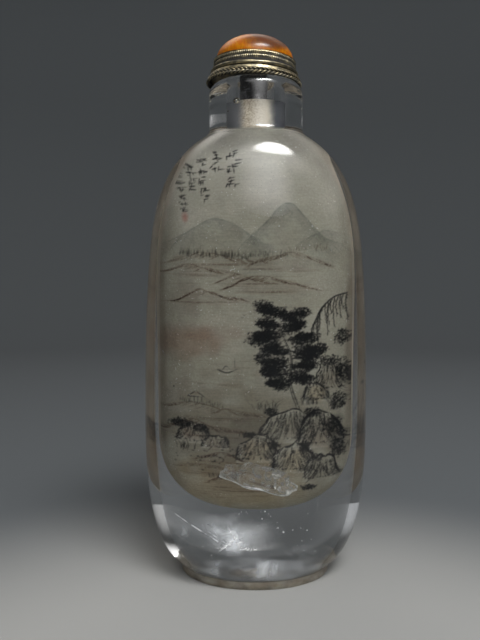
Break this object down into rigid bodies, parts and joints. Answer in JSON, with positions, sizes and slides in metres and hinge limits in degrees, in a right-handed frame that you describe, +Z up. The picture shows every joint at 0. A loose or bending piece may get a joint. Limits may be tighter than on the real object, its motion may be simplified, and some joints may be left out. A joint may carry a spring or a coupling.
{
  "type": "snuff bottle",
  "caption": "Flattened oval snuff bottle of clear rock crystal, hollow, painted inside, with a foot rim, a round neck and a domed cabochon stopper in a metal collar.",
  "frame": {"origin": "middle of the foot rim's underside, on the surface that the bottle stands on", "axes": "+Z up through the neck, +X across the broad face to the right, +Y through the flattened depth, away from the broad face at -Y"},
  "size_m": [0.0382, 0.025, 0.0914],
  "materials": {
    "crystal": "polished clear rock crystal with veils and flakes inside; the hollow's wall is ground matt and painted",
    "gilt_metal": "aged dull gilt, dark in the grooves",
    "amber_stone": "polished, orange-brown, lighter to one side",
    "dark_cork": "dark worn cork"
  },
  "bodies": {
    "root": {"bottle": "crystal", "collar": "gilt_metal", "cabochon": "amber_stone", "cork": "dark_cork"}
  },
  "joints": []
}
